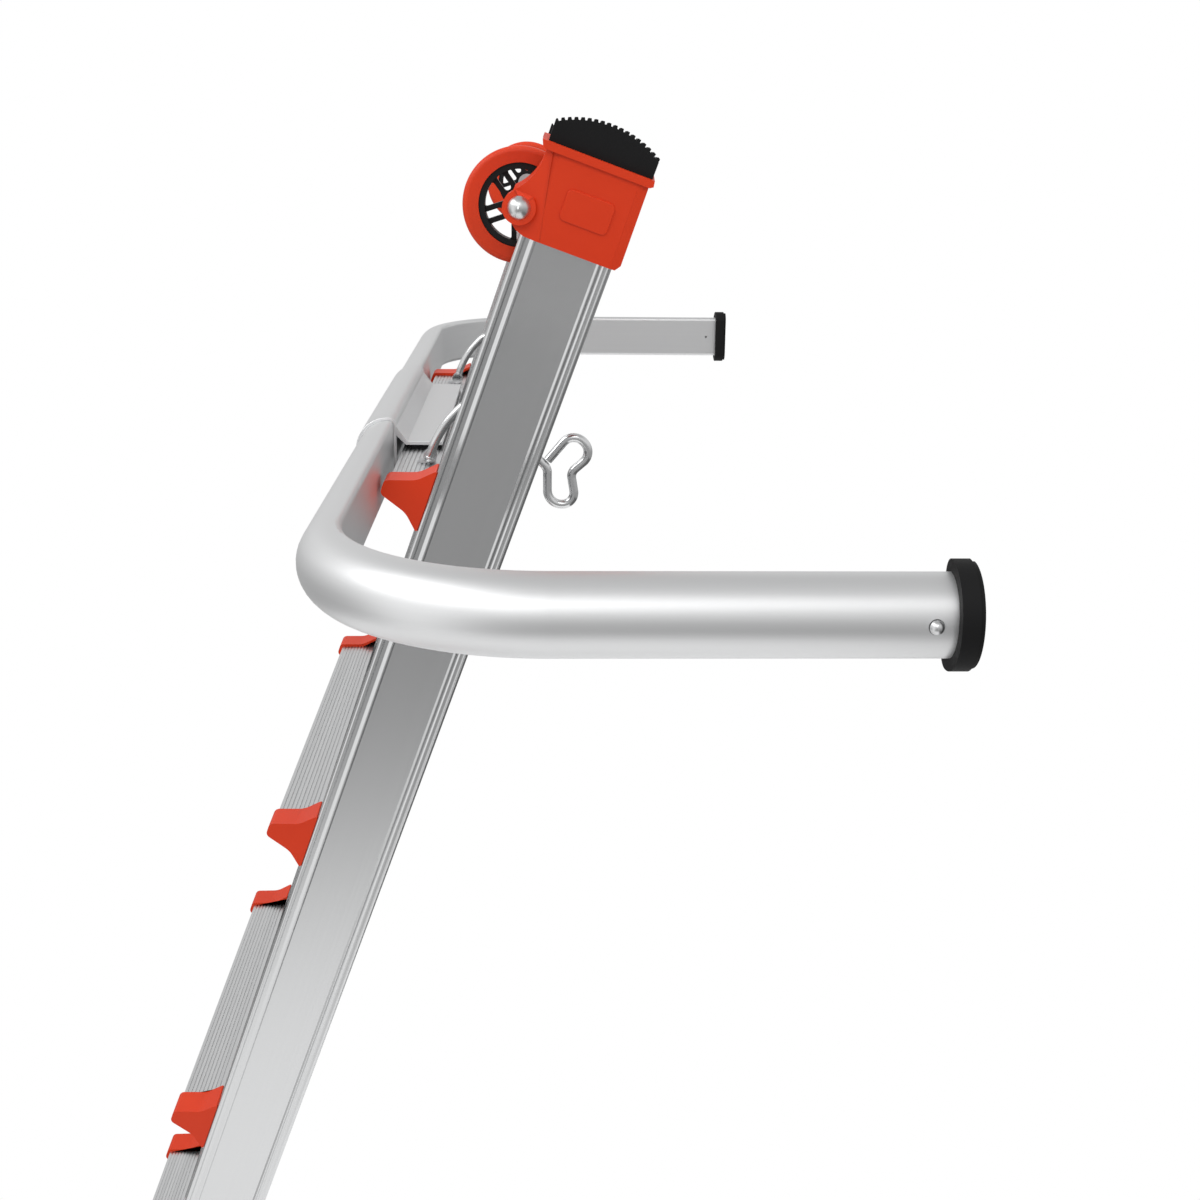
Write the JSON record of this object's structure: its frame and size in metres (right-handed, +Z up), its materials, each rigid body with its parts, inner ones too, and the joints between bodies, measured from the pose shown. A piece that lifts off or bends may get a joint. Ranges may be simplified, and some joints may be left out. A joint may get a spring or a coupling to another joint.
{
  "type": "combination ladder",
  "caption": "Telescoping, folding combination ladder leaning on flared rails, with level wedge treads, a D-tube wall stand-off, wall pads, a wire bail and rolling wheels at the top.",
  "frame": {"origin": "on the ground, midway between the contact points of the two lower feet", "axes": "+X across the ladder, +Y from the climber towards the wall, +Z up; the rails lean towards +Y"},
  "size_m": [1.2844, 1.3334, 3.1477],
  "materials": {
    "rail": "mill finish extrusion",
    "rung": "mill finish extrusion",
    "bracket": "orange moulded plastic",
    "boot": "orange moulded plastic",
    "foot": "black rubber",
    "housing": "black moulded plastic",
    "hinge": "zinc plated steel",
    "sleeve_pin": "turned steel",
    "axle": "bright zinc plated steel",
    "tube": "bright extrusion",
    "liner": "black rubber",
    "pad": "black rubber",
    "tyre": "orange soft plastic",
    "hub": "black moulded plastic",
    "wire": "bright spring steel",
    "button": "bright steel",
    "knob": "orange moulded plastic",
    "pin": "bright steel"
  },
  "bodies": {
    "lower_outer": {"lower_outer_rail_left": "rail", "lower_outer_rail_right": "rail", "lower_outer_rungs": "rung", "lower_rung_brackets": "bracket", "lower_boot_left": "boot", "lower_boot_right": "boot", "lower_foot_left": "foot", "lower_foot_right": "foot", "lower_lock_housing_left": "housing", "lower_lock_housing_right": "housing"},
    "lower_inner": {"lower_inner_rail_left": "rail", "lower_inner_rail_right": "rail", "lower_inner_rungs": "rung", "hinge_fork_left": "hinge", "hinge_fork_right": "hinge", "hinge_sleeves": "sleeve_pin"},
    "upper_inner": {"upper_inner_rail_left": "rail", "upper_inner_rail_right": "rail", "upper_inner_rungs": "rung", "hinge_tongue_left": "hinge", "hinge_tongue_right": "hinge"},
    "upper_outer": {"upper_outer_rail_left": "rail", "upper_outer_rail_right": "rail", "upper_outer_rungs": "rung", "upper_rung_brackets": "bracket", "upper_boot_left": "boot", "upper_boot_right": "boot", "upper_foot_left": "foot", "upper_foot_right": "foot", "upper_lock_housing_left": "housing", "upper_lock_housing_right": "housing", "wheel_axles": "axle", "bail_lugs": "hinge"},
    "standoff": {"standoff_sleeve": "tube", "standoff_liner": "liner", "standoff_arm_left": "tube", "standoff_arm_right": "tube", "wall_pad_left": "pad", "wall_pad_right": "pad"},
    "wheel_left": {"tyre_left": "tyre", "wheel_hub_left": "hub"},
    "button_left": {"spring_button_left": "button"},
    "knob_left": {"hinge_knob_left": "knob"},
    "lower_lock_left": {"lower_lock_pin_left": "pin", "lower_lock_handle_left": "knob"},
    "upper_lock_left": {"upper_lock_pin_left": "pin", "upper_lock_handle_left": "knob"},
    "wheel_right": {"tyre_right": "tyre", "wheel_hub_right": "hub"},
    "button_right": {"spring_button_right": "button"},
    "knob_right": {"hinge_knob_right": "knob"},
    "lower_lock_right": {"lower_lock_pin_right": "pin", "lower_lock_handle_right": "knob"},
    "upper_lock_right": {"upper_lock_pin_right": "pin", "upper_lock_handle_right": "knob"},
    "bail": {"wire_bail": "wire"}
  },
  "joints": [
    {"name": "lower_slide", "type": "slide", "parent": "lower_outer", "child": "lower_inner", "axis": [0, 0.3355, 0.9421], "range_m": [0, 1.2192]},
    {"name": "fold", "type": "hinge", "parent": "lower_inner", "child": "upper_inner", "pos_m": [0, 0.57552, 1.55909], "axis": [-1, 0, 0], "range_deg": [0, 180]},
    {"name": "upper_slide", "type": "slide", "parent": "upper_inner", "child": "upper_outer", "axis": [0, 0.3355, 0.9421], "range_m": [0, 1.2192]},
    {"name": "standoff_lift", "type": "slide", "parent": "upper_outer", "child": "standoff", "axis": [0, 0, 1], "range_m": [0, 0.15]},
    {"name": "wheel_spin_left", "type": "hinge", "parent": "upper_outer", "child": "wheel_left", "pos_m": [-0.26199, 1.03039, 3.08842], "axis": [1, 0, 0], "continuous": true},
    {"name": "button_press_left", "type": "slide", "parent": "standoff", "child": "button_left", "axis": [1, 0, 0], "range_m": [0, 0.004], "stiffness_N_per_m": 1500, "springref_m": -0.002},
    {"name": "knob_release_left", "type": "slide", "parent": "lower_inner", "child": "knob_left", "axis": [-1, 0, 0], "range_m": [0, 0.0065]},
    {"name": "lower_lock_left", "type": "slide", "parent": "lower_outer", "child": "lower_lock_left", "axis": [1, 0, 0], "range_m": [0, 0.017]},
    {"name": "upper_lock_left", "type": "slide", "parent": "upper_outer", "child": "upper_lock_left", "axis": [1, 0, 0], "range_m": [0, 0.017]},
    {"name": "wheel_spin_right", "type": "hinge", "parent": "upper_outer", "child": "wheel_right", "pos_m": [0.26199, 1.03039, 3.08842], "axis": [1, 0, 0], "continuous": true},
    {"name": "button_press_right", "type": "slide", "parent": "standoff", "child": "button_right", "axis": [-1, 0, 0], "range_m": [0, 0.004], "stiffness_N_per_m": 1500, "springref_m": -0.002},
    {"name": "knob_release_right", "type": "slide", "parent": "lower_inner", "child": "knob_right", "axis": [1, 0, 0], "range_m": [0, 0.0065]},
    {"name": "lower_lock_right", "type": "slide", "parent": "lower_outer", "child": "lower_lock_right", "axis": [-1, 0, 0], "range_m": [0, 0.017]},
    {"name": "upper_lock_right", "type": "slide", "parent": "upper_outer", "child": "upper_lock_right", "axis": [-1, 0, 0], "range_m": [0, 0.017]},
    {"name": "bail_swing", "type": "hinge", "parent": "upper_outer", "child": "bail", "pos_m": [0, 0.95946, 2.89647], "axis": [-1, 0, 0], "range_deg": [0, 35]}
  ]
}
